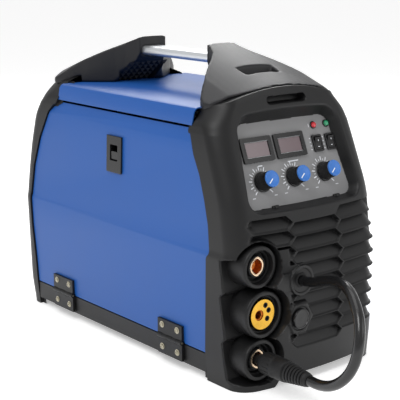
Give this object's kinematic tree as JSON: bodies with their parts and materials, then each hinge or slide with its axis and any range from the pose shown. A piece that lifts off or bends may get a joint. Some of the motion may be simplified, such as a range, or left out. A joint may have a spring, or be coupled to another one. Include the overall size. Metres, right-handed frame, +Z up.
{
  "type": "tig welder",
  "caption": "Portable inverter welder with a wire feeder behind a hinged side door, sockets and leaning control panel in front, and a bar handle on top.",
  "frame": {"origin": "on the floor under the middle of the housing, leaving the polarity lead and its plug out", "axes": "+Z up; the control panel and sockets face -Y; +X is to the right seen from the front, so the hinged door is on the -X side"},
  "size_m": [0.24, 0.6439, 0.3882],
  "materials": {
    "black": "satin textured moulded plastic",
    "blue": "satin powder coat",
    "silver": "anodised",
    "grey": "printed panel",
    "window": "smoked display filter",
    "cap": "satin",
    "red": "clear tinted lens",
    "green": "clear tinted lens",
    "brass": "machined",
    "copper": "plated rim, bare bore",
    "steel": "turned",
    "rubber": "matt",
    "plastic": "satin",
    "zinc": "zinc plated or bare"
  },
  "bodies": {
    "housing": {"base_pan": "plastic", "cable_gland": "rubber", "control_panel": "grey", "current_display_bezel": "black", "current_display_window": "window", "divider_plate": "zinc", "foot_front_left": "rubber", "foot_front_right": "rubber", "foot_rear_left": "rubber", "foot_rear_right": "rubber", "front_bezel": "black", "front_handle_bracket": "black", "front_hinge_base_leaf": "black", "front_hinge_pin": "steel", "gas_inlet": "brass", "handle_bar": "silver", "inverter_heatsink": "silver", "mains_cable_gland": "rubber", "mode_switch_frame": "black", "negative_socket_body": "rubber", "negative_socket_contact": "copper", "polarity_cable": "rubber", "polarity_plug": "rubber", "positive_socket_body": "rubber", "positive_socket_contact": "copper", "power_lamp": "green", "rear_bezel": "black", "rear_handle_bracket": "black", "rear_hinge_base_leaf": "black", "rear_hinge_pin": "steel", "rear_panel": "blue", "remote_socket_cap": "rubber", "right_side_panel": "blue", "spool_hub": "plastic", "top_cover": "blue", "torch_socket_body": "rubber", "torch_socket_contact": "brass", "trigger_switch_frame": "black", "voltage_display_bezel": "black", "voltage_display_window": "window", "warning_lamp": "red", "wire_feeder": "zinc"},
    "door": {"side_door": "blue", "rear_hinge_door_leaf": "black", "front_hinge_door_leaf": "black", "latch_housing": "black"},
    "latch": {"latch_slider": "black"},
    "wire_speed_control": {"wire_speed_knob": "black", "wire_speed_knob_cap": "cap"},
    "voltage_control": {"voltage_knob": "black", "voltage_knob_cap": "cap"},
    "inductance_control": {"inductance_knob": "black", "inductance_knob_cap": "cap"},
    "mode_switch": {"mode_switch_rocker": "black"},
    "trigger_switch": {"trigger_switch_rocker": "black"},
    "power_switch": {"power_switch_rocker": "black"},
    "spool": {"wire_spool": "plastic"},
    "feed_roll": {"drive_roll": "steel"},
    "pressure_lever": {"pressure_arm": "plastic"},
    "fan": {"fan_rotor": "rubber"}
  },
  "joints": [
    {"name": "door_hinge", "type": "hinge", "parent": "housing", "child": "door", "pos_m": [-0.1165, 0.0135, 0.0354], "axis": [0, -1, 0], "range_deg": [0, 90]},
    {"name": "latch_slide", "type": "slide", "parent": "door", "child": "latch", "axis": [0, 0, 1], "range_m": [0, 0.006]},
    {"name": "wire_speed_turn", "type": "hinge", "parent": "housing", "child": "wire_speed_control", "pos_m": [-0.0535, -0.20927, 0.24161], "axis": [0, 0.9252, -0.3795], "range_deg": [0, 290]},
    {"name": "voltage_turn", "type": "hinge", "parent": "housing", "child": "voltage_control", "pos_m": [-0.003, -0.20927, 0.24161], "axis": [0, 0.9252, -0.3795], "range_deg": [0, 290]},
    {"name": "inductance_turn", "type": "hinge", "parent": "housing", "child": "inductance_control", "pos_m": [0.048, -0.20927, 0.24161], "axis": [0, 0.9252, -0.3795], "range_deg": [0, 290]},
    {"name": "mode_switch_tilt", "type": "hinge", "parent": "housing", "child": "mode_switch", "pos_m": [0.049, -0.18886, 0.2716], "axis": [1, 0, 0], "range_deg": [-20, 0]},
    {"name": "trigger_switch_tilt", "type": "hinge", "parent": "housing", "child": "trigger_switch", "pos_m": [0.071, -0.18886, 0.2716], "axis": [1, 0, 0], "range_deg": [-20, 0]},
    {"name": "power_switch_tilt", "type": "hinge", "parent": "housing", "child": "power_switch", "pos_m": [-0.058, 0.2155, 0.208], "axis": [1, 0, 0], "range_deg": [0, 16]},
    {"name": "spool_spin", "type": "hinge", "parent": "housing", "child": "spool", "pos_m": [-0.0655, 0.062, 0.187], "axis": [1, 0, 0], "continuous": true},
    {"name": "feed_roll_spin", "type": "hinge", "parent": "housing", "child": "feed_roll", "pos_m": [-0.078, -0.125, 0.075], "axis": [1, 0, 0], "continuous": true},
    {"name": "pressure_lever_lift", "type": "hinge", "parent": "housing", "child": "pressure_lever", "pos_m": [-0.078, -0.096, 0.108], "axis": [-1, 0, 0], "range_deg": [0, 70]},
    {"name": "fan_spin", "type": "hinge", "parent": "housing", "child": "fan", "pos_m": [0.038, 0.195, 0.15], "axis": [0, 1, 0], "continuous": true}
  ]
}
